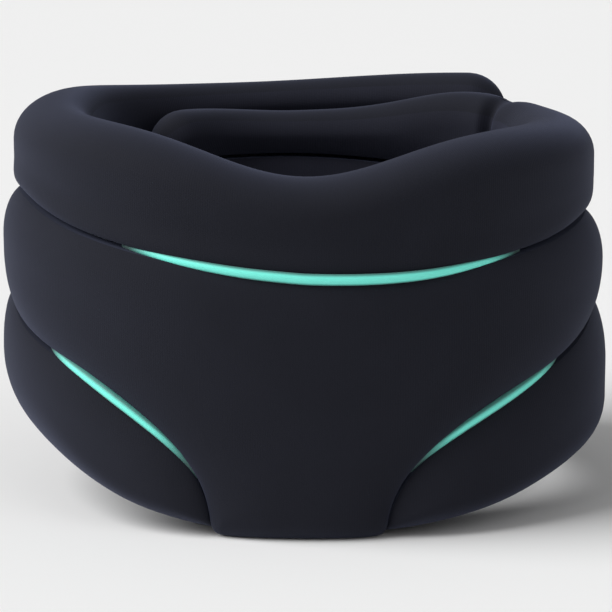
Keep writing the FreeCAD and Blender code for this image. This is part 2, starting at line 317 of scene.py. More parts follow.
UNEVEN, UNEVEN_FINE = 0.22, 0.12  # mm that sewn padding swells and sinks, broadly and finely
DEEP_ZONE, ROUNDER_ZONE = (60.0, 40.0), (55.0, 40.0)  # where the upper seam and its reach change
BIB_ZONE, BACK_ZONE = (40.0, 45.0), (120.0, 30.0)  # where the bottom edge's reach changes
FOOT_END = 40.0  # beyond this the middle roll has no foot
INSET_ZONE = (-60.0, 120.0)  # where the inset goes from left to right
LEAN_ZONE, INNER_LEAN = (-3.0, 12.0), 0.6  # mm above the seam where it starts; its share inside
FLARE_ZONE, FLARE_END, FLARE_RISE = (0.0, 60.0), (-170.0, 60.0), (0.0, 16.0)  # along, and below the seam
ROWS = 26  # rows of faces up each side of a roll
STEP = 2.4  # mm between two rings


def fall_away(distance, reach):
    """0 where the cover lies flat, rising in a quarter ellipse to 1 at the seam."""
    t = np.clip(1.0 - distance / reach, 0.0, 1.0)
    return 1.0 - np.sqrt(np.maximum(0.0, 1.0 - t * t))


# %% The seams as lines of points
def seam_points(edge, start, end):
    """Points (s, z) close together along a seam."""
    s = np.linspace(start, end, 900)
    return np.stack([s, edge(s)], -1)


def distance_to(points, s, z):
    """The shortest distance in the unrolled strip from each (s, z) to a line of points."""
    nearest = np.full(s.shape, 1e9)
    for block in np.array_split(points, 30):
        gap = np.hypot(s[..., None] - block[:, 0], z[..., None] - block[:, 1])
        nearest = np.minimum(nearest, gap.min(-1))
    return nearest


UPPER_LINE = seam_points(upper_seam, LEFT_TIP, RIGHT_TIP)
LOWER_LEFT = seam_points(lower_seam, LEFT_TIP, -left_run[0])
LOWER_RIGHT = seam_points(lower_seam, right_run[0], RIGHT_TIP)
right_corner = np.stack([right_run, SEAM_LOWER_RIGHT * bib_climb], -1)
left_corner = np.stack([-left_run, SEAM_LOWER_LEFT * bib_climb + rise(-left_run, SEAM_LOWER_BOW)], -1)
LOWER_LINE = np.concatenate([LOWER_LEFT, LOWER_RIGHT, right_corner, left_corner])

# %% [markdown]
# The seams pull the cover in on both faces. On the upper roll the top is the rim, and on
# the lower rolls the underside is the bottom edge; both close in a half round. Under the
# bib the middle roll ends in a flat foot.

# %% How deep the cover is drawn in
def roll_edges(roll, s):
    """Height of a roll's underside and top at s."""
    if roll == "upper":
        return upper_seam(s) + SEAM_GAP / 2, top_edge(s)
    if roll == "middle":
        low = lower_seam(s)
        return low + SEAM_GAP / 2 * smooth(low / 4), upper_seam(s) - SEAM_GAP / 2
    return bottom_edge(s), lower_seam(s) - SEAM_GAP / 2


def roll_depth(roll, s, z, low, high, half):
    """How far the cover has fallen in from its flat face, in mm, at each (s, z)."""
    share = half / FULL_HALF
    upper_depth = (SEAM_DEPTH + SIDE_DEPTH * ramp(np.abs(s), DEEP_ZONE)) * share
    to_upper = distance_to(UPPER_LINE, s, z)
    to_lower = distance_to(LOWER_LINE, s, z)
    if roll == "upper":
        reach = SEAM_REACH + (SIDE_REACH - SEAM_REACH) * ramp(np.abs(s), ROUNDER_ZONE)
        falls = [upper_depth * fall_away(to_upper, reach),
                 half * fall_away(high - z, RIM_REACH)]
    elif roll == "middle":
        falls = [upper_depth * fall_away(to_upper, SEAM_REACH),
                 SEAM_DEPTH * share * fall_away(to_lower, SEAM_REACH),
                 FOOT_DEPTH * fall_away(z, FOOT_REACH) * (np.abs(s) < FOOT_END)]
    else:
        side_reach = np.where(s < 0, LEFT_REACH, RIGHT_REACH)
        reach = BIB_REACH + (side_reach - BIB_REACH) * ramp(np.abs(s), BIB_ZONE)
        reach += (RIGHT_REACH - reach) * ramp(np.abs(s), BACK_ZONE)
        falls = [SEAM_DEPTH * share * fall_away(to_lower, LOWER_REACH),
                 half * fall_away(z - low, reach)]
    return np.sum([fall ** 3 for fall in falls], axis=0) ** (1 / 3)


# %% The rings of a roll
def swell(s, z):
    """The slight unevenness of sewn padding, in mm: a broad wave and a finer one."""
    broad = np.sin(s / 17.0 + 1.3 * np.sin(z / 23.0)) * np.cos(z / 19.0 + s / 61.0)
    return UNEVEN * broad + UNEVEN_FINE * np.sin(s / 7.3 + z / 11.0 + 0.7)


def roll_rings(roll, s):
    """Points (s, n, z) of every ring, its first point at the middle of the underside."""
    low, high = (edge[:, None] for edge in roll_edges(roll, s))
    half = half_wall(s)[:, None]
    step = (1 - np.cos(np.pi * np.arange(ROWS + 1) / ROWS)) / 2
    z = low + (high - low) * step
    across = np.repeat(s[:, None], ROWS + 1, 1)
    depth = roll_depth(roll, across, z, low, high, half)
    outer = np.maximum(LEAST_HALF * half, half - depth + swell(across, z) * half / FULL_HALF)
    inner = -np.maximum(LEAST_HALF * half, half - INNER_SHARE * depth)
    inner += rise(across, FOLD_INSIDE)
    if roll == "upper":
        inset = INSET_LEFT + (INSET_RIGHT - INSET_LEFT) * ramp(across, INSET_ZONE)
        lean = inset * ramp(z - low, LEAN_ZONE)
        outer, inner = outer - lean, inner - lean * INNER_LEAN
    if roll == "lower":
        flare = np.where(across < 0, FLARE_LEFT, FLARE_RIGHT)
        reach = ramp(np.abs(across), FLARE_ZONE) * ramp(-np.abs(across), FLARE_END)
        outer = outer + flare * reach * ramp(high - z, FLARE_RISE)
    middle_n = (outer[:, :1] + inner[:, :1]) / 2, (outer[:, -1:] + inner[:, -1:]) / 2
    n = np.concatenate([middle_n[0], outer, middle_n[1], inner[:, ::-1]], 1)
    heights = np.concatenate([z[:, :1], z, z[:, -1:], z[:, ::-1]], 1)
    return np.stack([np.repeat(s[:, None], n.shape[1], 1), n, heights], -1)


# %% [markdown]
# The rings stand closer together at the rounded tips and beside the bib, where the seam
# turns down. A few rings lie exactly where one piece of the roll ends and the next
# starts: the collar has to bend there, so each roll is cut into pieces there, and each
# piece but the front one holds one hinge line. Every piece takes its surface directions from the whole roll,
# so the cuts don't show.

# %% Where the rings stand
SIDE_CUT = 86.0  # where the front piece ends on each side
FLAP_CUT = 126.5  # where the side piece ends and the flap starts
BIB_MARK = 46.0  # a ring stands here on each side, well beside the bib
CLEAR, FOLD_CLEAR, TIP_CLEAR = 0.5, 7.6, 9.4  # mm kept free beside a corner, the fold and a tip
HAIR = 0.01  # mm, less than any gap between rings
FOLD_OFFSETS = np.linspace(-7.0, 7.0, 15)
TIP_STEPS = [0.0, 0.12, 0.45, 1.0, 1.7, 2.6, 3.7, 5.0, 6.5, 8.2]
CORNER_CLIMBS = np.array([0, 0.3, 0.8, 1.5, 2.5, 3.6, 4.8, 6, 7.2, 8.4, 9.6, 11, 12.5, 14, 15.5, 17, 19])
CORNER_CLIMBS /= SEAM_LOWER_LEFT


def ring_places(start, end):
    """Every s at which the strip has a ring between start and end."""
    cuts = [-FLAP_CUT, -SIDE_CUT, -BIB_MARK, 0.0, BIB_MARK, SIDE_CUT, FLAP_CUT]
    marks = [start] + [cut for cut in cuts if start < cut < end] + [end]
    places = []
    for low, high in zip(marks, marks[1:]):
        places += list(np.linspace(low, high, max(2, round((high - low) / STEP))))
    corner = np.concatenate([np.interp(CORNER_CLIMBS, bib_climb, right_run),
                             -np.interp(CORNER_CLIMBS, bib_climb, left_run)])
    places = [s for s in places if np.abs(corner - s).min() > CLEAR or s in marks]
    places += [s for s in corner if start <= s <= end]
    if start < FOLD_INSIDE[1] < end:
        places = [s for s in places if abs(s - FOLD_INSIDE[1]) > FOLD_CLEAR]
        places += list(FOLD_INSIDE[1] + FOLD_OFFSETS)
    for tip, inward in ((LEFT_TIP, 1), (RIGHT_TIP, -1)):
        if min(abs(start - tip), abs(end - tip)) < HAIR:
            places = [s for s in places if abs(s - tip) > TIP_CLEAR]
            places += [tip + inward * step for step in TIP_STEPS]
    return np.array(sorted(set(places)))


# %% [markdown]
# A roll's mesh is a grid of rings, so its faces, its surface directions and the map that
# carries the knit all come from rows and columns. The map is in metres along and round
# the roll, which keeps the knit the same size everywhere.

# %% A mesh from rings
def ring_normals(points):
    """Surface directions at the points of rings that close on themselves."""
    ahead = np.roll(points, -1, 1) - np.roll(points, 1, 1)
    beside = np.gradient(points, axis=0)
    normal = np.cross(beside, ahead)
    return normal / np.maximum(1e-12, np.linalg.norm(normal, axis=-1, keepdims=True))


def ring_map(points, s):
    """Metres along the strip and round the ring, with the ring's end apart from its start."""
    steps = np.linalg.norm(np.roll(points, -1, 1) - points, axis=-1)
    round_ring = np.concatenate([np.zeros((len(points), 1)), np.cumsum(steps, 1)], 1)
    middle = round_ring[:, ROWS // 2 + 1][:, None]
    return np.repeat(s[:, None] * MM, round_ring.shape[1], 1), round_ring - middle


def new_piece(name, points, faces, uv):
    """A smooth piece in the scene, with the map that carries its weave."""
    mesh = bpy.data.meshes.new(name)
    mesh.from_pydata(points.reshape(-1, 3).tolist(), [], faces)
    mesh.shade_smooth()
    layer = mesh.uv_layers.new(name="knit")
    layer.data.foreach_set("uv", np.array(uv, np.float32).ravel())
    return add_object(name, mesh)


def add_shade(piece, name, values):
    """A number for each point of a piece, which its finish can read."""
    piece.data.attributes.new(name, "FLOAT", "POINT").data.foreach_set("value", values.ravel())


# %% A piece of a roll
def tube_faces(stations, sides, base=0):
    """The faces of a closed tube, its two ends last; its first point has the number base."""
    faces = []
    for a in range(base, base + (stations - 1) * sides, sides):
        for c in range(sides):
            d = (c + 1) % sides
            faces.append((a + c, a + sides + c, a + sides + d, a + d))
    end = base + stations * sides
    return faces + [tuple(range(base, base + sides)), tuple(range(end - 1, end - sides - 1, -1))]


def mesh_from_rings(name, points, normals, maps, first, last, liner=(), painted_light=None):
    """The stretch between two rings. The columns in liner get the second material, and the last argument,
    where there is one, gives each point's painted highlight."""
    count = points.shape[1]
    block = points[first:last + 1]
    row, column = np.arange(first, last)[:, None], np.arange(count)

    def corners(grid, beside):
        ends = grid[row, column], grid[row + 1, column], grid[row + 1, beside], grid[row, beside]
        return np.stack(ends, 2).reshape(-1, grid.shape[-1])

    uv = corners(np.stack(maps, -1), column + 1)
    direction = corners(normals, (column + 1) % count)
    for ring, within in ((block[0], block[1]), (block[-1, ::-1], block[-2])):
        out = ring.mean(0) - within.mean(0)
        direction = np.concatenate([direction, np.repeat([out / np.linalg.norm(out)], count, 0)])
        uv = np.concatenate([uv, ring[:, [0, 2]]])
    piece = new_piece(name, block, tube_faces(len(block), count), uv)
    piece.data.normals_split_custom_set(direction.tolist())
    for k in range((last - first) * count):
        piece.data.polygons[k].material_index = int(k % count in liner)
    if painted_light is not None:
        add_shade(piece, "painted_light", painted_light[first:last + 1])
    return piece


# %% [markdown]
# ## Riding on the front
# The front piece rides on the front. A side piece or a flap is not bound to a joint here:
# its place is baked into its mesh.

# %% Pieces and their stretches
# Of each stretch: its two ends, the bodies before and after its hinge, the hinge's place on
# the strip, the way that the strip runs there, and the mm of bend on each side of the hinge.
STRETCHES = {
    "left_end": (LEFT_TIP, -FLAP_CUT, "left_side", "left_end", -FLAP_HINGE, -1, 26.0),
    "left_side": (-FLAP_CUT, -SIDE_CUT, "front", "left_side", -SIDE_HINGE, -1, 11.5),
    "front": (-SIDE_CUT, SIDE_CUT, "front", None, None, 0, 0.0),
    "right_side": (SIDE_CUT, FLAP_CUT, "front", "right_side", SIDE_HINGE, 1, 11.5),
    "right_end": (FLAP_CUT, RIGHT_TIP, "right_side", "right_end", FLAP_HINGE, 1, 26.0),
}
MID_HEIGHT = 55.0  # mm, the height at which the hinges are given


def follow(piece, stretch):
    """Attach a front piece to the front; any other piece only has its place baked into its mesh."""
    body, child, hinge, side, reach = STRETCHES[stretch][2:]
    if child is None:
        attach(piece, body)
        return
    start = place(hinge - side * reach, 0.0, MID_HEIGHT)
    end = place(hinge + side * reach, 0.0, MID_HEIGHT)
    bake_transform(piece)


# %% [markdown]
# ## The rolls
# Upper, middle and lower rolls are built whole, from tip to tip, and cut afterwards. The
# lower roll is in two halves, because the bib parts it at the front.

# %% The four rolls
ROLL_START = 2.5 / SEAM_LOWER_LEFT  # how far up the bib's side the lower rolls begin
LEFT_START = -np.interp(ROLL_START, bib_climb, left_run)
RIGHT_START = np.interp(ROLL_START, bib_climb, right_run)
WHOLE_ROLLS = {
    "upper": ("upper", LEFT_TIP, RIGHT_TIP),
    "middle": ("middle", LEFT_TIP, RIGHT_TIP),
    "lower_left": ("lower", LEFT_TIP, LEFT_START),
    "lower_right": ("lower", RIGHT_START, RIGHT_TIP),
}
INNER_TOP, INNER_END = ROWS + 3, 2 * ROWS + 4  # the columns of a ring on the inner side
LINER_FOOT = INNER_END - 9  # the column where the liner of a lower roll ends
LINER_COLUMNS = {  # the columns of faces that are liner
    "upper": range(INNER_TOP + 8, INNER_END),
    "middle": range(INNER_TOP, INNER_END),
    "lower": range(INNER_TOP, LINER_FOOT),
}
CROWN_HIGHLIGHT, FOOT_HIGHLIGHT = 0.45, 0.6  # painted highlight on a roll's crown and on the bib's foot; an edge's is 1
EDGE_HIGHLIGHT_WIDTH = 4.0  # mm, the width of the painted highlight along the rim and the bottom edge
padding = {}


def painted_light_of(roll, rings):
    """Painted highlight, from 0 in the grooves, which stay darker, to 1 on the rim, the bottom edge and the
    crowns of the rolls.
    """
    s, n, z = np.moveaxis(rings, -1, 0)
    low, high = roll_edges(roll, rings[:, 0, 0])
    crown = CROWN_HIGHLIGHT * np.clip(np.abs(n) / half_wall(s), 0, 1) ** 4
    edge = high[:, None] if roll == "upper" else low[:, None]
    crest = np.exp(-((z - edge) / EDGE_HIGHLIGHT_WIDTH) ** 2) * (roll != "middle" or FOOT_HIGHLIGHT)
    return np.clip(crown + crest, 0, 1).astype(np.float32)


def cad_names(name, roll, stretch):
    """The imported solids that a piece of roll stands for."""
    where = stretch if stretch != "front" or roll != "lower" else "front_" + name.split("_")[1]
    return [f"{roll}_{layer}_{where}" for layer in ("foam", "cover", "liner")]


# %% Build the rolls
for name, (roll, start, end) in WHOLE_ROLLS.items():
    s = ring_places(start, end)
    rings = roll_rings(roll, s)
    points = place_all(rings)
    normals = ring_normals(points)
    maps = ring_map(points, s)
    # painted highlight for each point: paler on the rim, the bottom edge and the crowns
    painted_light = painted_light_of(roll, rings)
    for stretch, (low, high, *rest) in STRETCHES.items():
        inside = np.flatnonzero((s > low - HAIR) & (s < high + HAIR))
        if len(inside) < 2:
            continue
        title = f"{name if stretch == 'front' else roll}_roll_{stretch}"
        ends = inside[0], inside[-1]
        piece = mesh_from_rings(title, points, normals, maps, *ends, LINER_COLUMNS[roll], painted_light)
        follow(piece, stretch)
        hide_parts(*cad_names(name, roll, stretch))
        padding[piece.name] = piece
    print(name, "roll:", len(s), "rings")

# %% [markdown]
# ## The piping
# A thin cord covered in bright satin is caught between two rolls as their seam is sewn.
# It shows most where the groove is open and sinks away at both ends. A tube whose rings
# shrink and move inwards does this in a few lines.

# %% A tube
PIPING_RADIUS = 1.55  # mm
PIPING_SIDES = 24
END_SHARE = 0.22  # an end's radius, as a share of the middle's
END_SUNK = 1.3  # mm that an end lies deeper than the middle
END_DARK_LENGTH = 13.0  # mm of strip over which the colour darkens towards an end
EDGE_SHADE, EDGE_EASE = 0.72, 0.45  # painted shade on its sides, where the rolls close over it: how dark, and how softly
SEAT = 1.15  # how far its middle is from the groove's bottom, in radii
BLUNT = 0.004  # the share of its length left off at a pointed end
PIPING_RUNS = {  # its seam, its ends, and how far out to each side it is free of painted shade, from 0 to 1
    "piping_upper": (upper_seam, -47.0, 58.0, 0.5),
    "piping_lower_left": (lower_seam, -74.0, -26.8, 0.3),
    "piping_lower_right": (lower_seam, 26.8, 74.0, 0.3),
}


def rings_round(centres, forward, radii, sides):
    """Rings of points round places on a line that runs forward."""
    forward = forward / np.linalg.norm(forward, axis=-1, keepdims=True)
    across = np.cross(forward, (0.0, 0.0, 1.0))
    across /= np.maximum(1e-9, np.linalg.norm(across, axis=-1, keepdims=True))
    upward = np.cross(across, forward)
    turn = 2 * np.pi * np.arange(sides)[:, None] / sides
    circle = np.cos(turn) * across[..., None, :] + np.sin(turn) * upward[..., None, :]
    return centres[..., None, :] + radii[..., None, None] * circle


def tube_map(travel, girths, sides):
    """A tube's map: the distance along it and round it, and nothing at its two ends."""
    uv = []
    for k in range(len(travel) - 1):
        for c in range(sides):
            low, high = c / sides * girths[k], (c + 1) / sides * girths[k]
            uv += [(travel[k], low), (travel[k + 1], low), (travel[k + 1], high), (travel[k], high)]
    return uv + [(0.0, 0.0)] * (2 * sides)


def tube(name, centres, radii):
    """A closed tube round a line of centres."""
    rings = rings_round(centres, np.gradient(centres, axis=0), radii, PIPING_SIDES)
    uv = tube_map(distances(centres), 2 * np.pi * radii, PIPING_SIDES)
    return new_piece(name, rings, tube_faces(len(centres), PIPING_SIDES), uv)


# %% Build the piping
def groove_bottom(s):
    """How far out the bottom of an outer groove is at s, in mm."""
    return half_wall(s) * (1 - SEAM_DEPTH / FULL_HALF)


piping = {}
for name, (seam, start, end, unshaded_share) in PIPING_RUNS.items():
    share = np.linspace(0, 1, 90)
    s = start + (end - start) * share
    plump = np.sqrt(np.sin(np.pi * np.clip(share, BLUNT, 1 - BLUNT)))
    radius = PIPING_RADIUS * (END_SHARE + (1 - END_SHARE) * plump)
    n = groove_bottom(s) + radius * SEAT - END_SUNK * (1 - plump)
    piece = tube(name, place(s, n, seam(s)), radius * MM)
    # The colour is painted darker towards both ends, and painted shade darkens its sides where the rolls
    # close over it.
    from_end = (end - start) * np.minimum(share, 1 - share)
    by_end = 1 - smooth(from_end / END_DARK_LENGTH)
    turn = 2 * np.pi * np.arange(PIPING_SIDES) / PIPING_SIDES
    painted_side_shade = EDGE_SHADE * smooth((np.abs(np.sin(turn)) - unshaded_share) / EDGE_EASE)
    add_shade(piece, "dark_ends_and_painted_shade", np.maximum(by_end[:, None], painted_side_shade))
    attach(piece, "front")
    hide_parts(name)
    piping[name] = piece
    print(name, f"{np.hypot(end - start, np.ptp(seam(s))):.0f} mm long")

# %% [markdown]
# ## The closure
# Strips of hook and of loop tape are sewn flat on the two flaps, hooks inside the outer
# flap and loops outside the inner one, so that they meet when the collar is closed. A
# strip is a thin slab that follows the cover under it. It is made from the roll's own
# rings, lifted off the cover and narrowed to round corners at both ends.

# %% Build the hook and loop strips
TAPE_LIFT, TAPE_THICK = 0.15, 0.95  # mm off the cover, and mm thick
TAPE_CORNER = 5.0  # mm of rounding at a strip's corners
TAPE_ROOT = -0.2  # mm: its underside is this far down in the cover
TAPE_STEP = 2.5  # mm between rings
TAPES = {  # roll, face, ends, mm to the roll's edges, and stretch
    "loop_strip_middle": ("middle", 1, 171.0, 262.0, 4.0, "right_end"),
    "loop_strip_lower": ("lower", 1, 171.0, 262.0, 9.0, "right_end"),
    "hook_strip_middle": ("middle", -1, -291.0, -236.0, 5.0, "left_end"),
    "hook_strip_lower": ("lower", -1, -291.0, -236.0, 11.0, "left_end"),
}


def skin_point(roll, face, s, share, margin, lift):
    """(s, n, z) on one face of a roll; share is -1 at a strip's lower edge and 1 at its upper."""
    rings = roll_rings(roll, s)
    skin = rings[:, 1:ROWS + 2] if face > 0 else rings[:, :ROWS + 2:-1]
    low, high = roll_edges(roll, s)
    z = (high + low)[:, None] / 2 + ((high - low) / 2 - margin)[:, None] * share
    n = np.stack([np.interp(row, line[:, 2], line[:, 1]) for row, line in zip(z, skin)])
    return np.stack([np.repeat(s[:, None], z.shape[1], 1), n + face * lift, z], -1)


def tape_rings(roll, face, s, margin):
    """Rings round a strip: up the side that is further out, and down the other."""
    inside = 1 - np.minimum(1, np.minimum(s - s[0], s[-1] - s) / TAPE_CORNER)
    corner = TAPE_CORNER * (1 - np.sqrt(1 - inside ** 2))
    spread = np.sin(np.linspace(-np.pi / 2, np.pi / 2, ROWS + 2))
    share = np.repeat(spread[None], len(s), 0)
    proud = TAPE_LIFT + TAPE_THICK * np.sqrt(np.maximum(0, 1 - np.abs(share) ** 10))
    top = skin_point(roll, face, s, share, margin + corner, proud)
    under = skin_point(roll, face, s, share, margin + corner, TAPE_ROOT)
    far, near = (top, under) if face > 0 else (under, top)
    return np.concatenate([far, near[:, ::-1]], 1)


tapes = {}
for name, (roll, face, start, end, margin, stretch) in TAPES.items():
    steps = np.array([0, 0.15, 0.6, 1.3, 2.3, 3.5])  # closer together at the round corners
    flat = np.arange(start + TAPE_CORNER, end - TAPE_CORNER + 0.1, TAPE_STEP)
    s = np.concatenate([start + steps, flat, end - steps[::-1]])
    rings = tape_rings(roll, face, s, margin)
    points = place_all(rings)
    piece = mesh_from_rings(name, points, ring_normals(points), ring_map(points, s), 0, len(s) - 1)
    follow(piece, stretch)
    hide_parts(name)
    tapes[name] = piece
    print(name, f"{end - start:.0f} mm long")

# %% [markdown]
# ## The sewing
# A machine sews the rolls apart along the grooves, sews the soft liner to the outer knit,
# and sews the strips down. Each stitch is a short arched thread, thick in its middle and
# sunk in the cloth at both ends, repeated along a line on the cover. The stitches of one
# stretch are one mesh.

# %% Stitches along a line
STITCH_PITCH, STITCH_LENGTH, STITCH_RADIUS = 3.0, 2.4, 0.2  # mm
STITCH_SIDES = 6
STITCH_STATIONS = np.array([0.0, 0.14, 0.5, 0.86, 1.0])  # rings along a stitch
STITCH_PLUMP = np.array([0.45, 0.9, 1.0, 0.9, 0.45])  # and how thick it is there
TAPE_PITCH = 2.6  # mm, for the strips
stitch_lines = {stretch: [] for stretch in STRETCHES}


def sew(line, pitch=STITCH_PITCH):
    """Lay stitches along a line of (s, n, z), each with the stretch of the strip that it is on."""
    points = place_all(line)
    travel = distances(points)
    count = int(travel[-1] / (pitch * MM))
    for k in range(count):
        reach = (k + 0.5) * pitch * MM + (STITCH_STATIONS - 0.5) * STITCH_LENGTH * MM
        at = np.interp(reach[2], travel, line[:, 0])
        stretch = next(name for name, (low, high, *_) in STRETCHES.items() if low <= at <= high)
        stitch_lines[stretch].append(np.stack([np.interp(reach, travel, points[:, a]) for a in range(3)], 1))
    return count


def groove(above, below, columns, s):
    """The line where two rolls meet, between a column of points on each."""
    rings = [roll_rings(roll, s)[:, column] for roll, column in zip((above, below), columns)]
    return (rings[0] + rings[1]) / 2


# %% [markdown]
# The grooves outside carry stitches wherever the piping doesn't fill them. Inside, they
# run the whole way. They lie down in the groove, so it is the dark line that shows. One
# more line joins the liner to the outer knit above the bottom edge; below the rim that
# seam is a blind one.

# %% Where the sewing goes
OUTSIDE, INSIDE = (1, ROWS + 1), (-1, INNER_TOP)  # columns at the grooves, on the roll above and below
CLEAR_OF_TIP = 6.0  # mm from a tip, where no stitch shows
PIPED_TO, CLEAR_OF_BIB = 76.0, 30.0  # mm from the front centre, in the lower seam
SUNK = np.array([0.0, 2.2, 0.0])  # mm that a stitch lies down in its groove
LIFT = np.array([0.0, 0.1, 0.0])  # mm that a stitch stands off flat cloth
first, last = LEFT_TIP + CLEAR_OF_TIP, RIGHT_TIP - CLEAR_OF_TIP


def between(start, end):
    """Places along the strip about 1.5 mm apart."""
    return np.linspace(start, end, max(4, round((end - start) / 1.5)))


sewn = 0
BESIDE_CORD = 2.0  # mm of groove with no stitch by a cord's end
cord_start, cord_end = PIPING_RUNS["piping_upper"][1:3]
for start, end in ((first, cord_start - BESIDE_CORD), (cord_end + BESIDE_CORD, last)):
    sewn += sew(groove("upper", "middle", OUTSIDE, between(start, end)) - SUNK)
for start, end in ((first, -PIPED_TO), (PIPED_TO, last)):
    sewn += sew(groove("middle", "lower", OUTSIDE, between(start, end)) - SUNK)
sewn += sew(groove("upper", "middle", INSIDE, between(first, last)) + SUNK)
for start, end in ((first, -CLEAR_OF_BIB), (CLEAR_OF_BIB, last)):
    sewn += sew(groove("middle", "lower", INSIDE, between(start, end)) + SUNK)
    sewn += sew(roll_rings("lower", between(start, end))[:, LINER_FOOT] - LIFT)
print(sewn, "stitches on the rolls")

# %% The stitches that hold the strips
TAPE_HEM = 1.7  # mm from a strip's edge to its stitches
proud = TAPE_LIFT + TAPE_THICK
for name, (roll, face, start, end, margin, stretch) in TAPES.items():
    s = between(start + TAPE_CORNER, end - TAPE_CORNER)
    for side in (-1.0, 1.0):
        share = np.full((len(s), 1), side)
        sewn += sew(skin_point(roll, face, s, share, margin + TAPE_HEM, proud)[:, 0], TAPE_PITCH)
    for edge in (start + TAPE_HEM, end - TAPE_HEM):
        share = np.linspace(-1, 1, 12)[None]
        hem = skin_point(roll, face, np.array([edge]), share, margin + TAPE_CORNER, proud)
        sewn += sew(hem[0], TAPE_PITCH)
print(sewn, "stitches in all")

# %% [markdown]
# Deep in each groove the cover's inner and outer sides are sewn together into a web,
# which holds one roll to the next and closes the gap between them. A slim tube along the
# middle of the padding stands for it.

# %% Build the webs between the rolls
WEB_RADIUS = 0.9  # mm
SHORTEST_WEB = 5.0  # mm
webs = {}
for seam_name, seam, limits in (("upper", upper_seam, [(first, last)]),
                                ("lower", lower_seam, [(first, LEFT_START), (RIGHT_START, last)])):
    for stretch, (low, high, *rest) in STRETCHES.items():
        for start, end in limits:
            start, end = max(start, low), min(end, high)
            if end - start < SHORTEST_WEB:
                continue
            side = "" if seam_name == "upper" or stretch != "front" else ("_left" if start < 0 else "_right")
            s = between(start, end)
            piece = tube(f"web_{seam_name}_{stretch}{side}", place(s, 0.0, seam(s)),
                         np.full(len(s), WEB_RADIUS * MM))
            follow(piece, stretch)
            webs[piece.name] = piece
print(len(webs), "webs")

# %% Build the stitches
threads = {}
stations = len(STITCH_STATIONS)
one_map = tube_map(range(stations), [STITCH_SIDES] * stations, STITCH_SIDES)
for stretch, stitches in stitch_lines.items():
    centres = np.array(stitches)
    forward = centres[:, -1:] - centres[:, :1]
    rings = rings_round(centres, forward, STITCH_RADIUS * MM * STITCH_PLUMP, STITCH_SIDES)
    faces = []
    for k in range(len(centres)):
        faces += tube_faces(stations, STITCH_SIDES, k * stations * STITCH_SIDES)
    piece = new_piece("threads_" + stretch, rings, faces, one_map * len(centres))
    follow(piece, stretch)
    threads[stretch] = piece
    print(piece.name, len(centres), "stitches")

# %% [markdown]
# ## Sums in a shader
# A knit is a sum over the map: columns of loops one way, rows of loops the other. This
# small class wraps a socket, so that the sum can be written as a plain expression and
# adds its own Math nodes. Any other node comes from its one method, node().

# %% A socket that can be used in sums
def sum_of(operation, flipped=False):
    """A method of Wire that adds one Math node; flipped puts the other value first."""
    def method(self, other):
        return self.maths(operation, *((other, self) if flipped else (self, other)))
    return method


class Wire:
    """A socket of a material's nodes. An expression on it adds the nodes that work it out."""

    def __init__(self, tree, socket=None):
        self.tree = tree
        self.socket = socket

    def node(self, kind, settings=None, inputs=None, output=0):
        """Add a node: its settings first, then the values or links of its sockets."""
        new = self.tree.nodes.new(kind)
        for name, value in (settings or {}).items():
            setattr(new, name, value)
        for name, value in (inputs or {}).items():
            if isinstance(value, Wire):
                self.tree.links.new(value.socket, new.inputs[name])
            else:
                new.inputs[name].default_value = value
        return Wire(self.tree, new.outputs[output])

    def maths(self, operation, *values):
        return self.node("ShaderNodeMath", {"operation": operation}, dict(enumerate(values)))

    __add__ = __radd__ = sum_of("ADD")
    __mul__ = __rmul__ = sum_of("MULTIPLY")
    __sub__, __rsub__ = sum_of("SUBTRACT"), sum_of("SUBTRACT", flipped=True)
    __truediv__, __pow__ = sum_of("DIVIDE"), sum_of("POWER")

    def of(self, operation):
        """A Math node with one input, such as SINE, FRACT or ABSOLUTE."""
        return self.maths(operation, self)

    def held(self):
        """Kept between 0 and 1."""
        return self.node("ShaderNodeClamp", {}, {"Value": self})


def mix(factor, one, two):
    """From one colour to the other as the factor goes from 0 to 1."""
    return factor.node("ShaderNodeMix", {"data_type": "RGBA"}, {0: factor, 6: one, 7: two}, output=2)


# %% [markdown]
# Every finish starts in the same way: a shader whose even values are set on its own
# sockets, and the map in metres, taken apart into the distance along the strip and the
# distance round it. Clouds of noise on the same map give the unevenness of real cloth.

# %% The start of a finish
PI = math.pi


def rgb(red, green, blue):
    return (red, green, blue, 1.0)


def new_material(name, **values):
    """A new material with these values on its shader's sockets."""
    material = bpy.data.materials.new(name)
    material.use_nodes = True
    for socket, value in values.items():
        inputs = material.node_tree.nodes["Principled BSDF"].inputs
        inputs[socket.replace("_", " ")].default_value = value
    return material


def finish_of(name, specular, sheen=0.0, spread=0.5, tint=rgb(1.0, 1.0, 1.0)):
    """A new material with its even values, and the map: along, round and both together."""
    material = new_material(name, Specular_IOR_Level=specular, Sheen_Weight=sheen,
                            Sheen_Roughness=spread, Sheen_Tint=tint)
    wire = Wire(material.node_tree)
    both = wire.node("ShaderNodeUVMap", {"uv_map": "knit"})
    along = wire.node("ShaderNodeSeparateXYZ", {}, {0: both}, output="X")
    across = wire.node("ShaderNodeSeparateXYZ", {}, {0: both}, output="Y")
    return material, along, across, both


def clouds(both, size, detail=2.0):
    """Noise from 0 to 1 whose clouds are about size metres across."""
    return both.node("ShaderNodeTexNoise", {}, {"Vector": both, "Scale": 1 / size, "Detail": detail})


def wave(distance, length):
    """From 0 to 1 and back, once in every length."""
    return 0.5 + 0.5 * (distance * (2 * PI / length)).of("SINE")


def shade_of(both, name):
    """A number that the mesh holds for each point."""
    return both.node("ShaderNodeAttribute", {"attribute_name": name}, {}, output="Fac")


def wear(material, colour, roughness, height, depth, strength):
    """Link a finish: its colour, its roughness and the height that the bump is read from."""
    bump = height.node("ShaderNodeBump", {}, {"Height": height, "Distance": depth, "Strength": strength})
    sockets = material.node_tree.nodes["Principled BSDF"].inputs
    for name, wire in (("Base Color", colour), ("Roughness", roughness), ("Normal", bump)):
        material.node_tree.links.new(wire.socket, sockets[name])
    return material
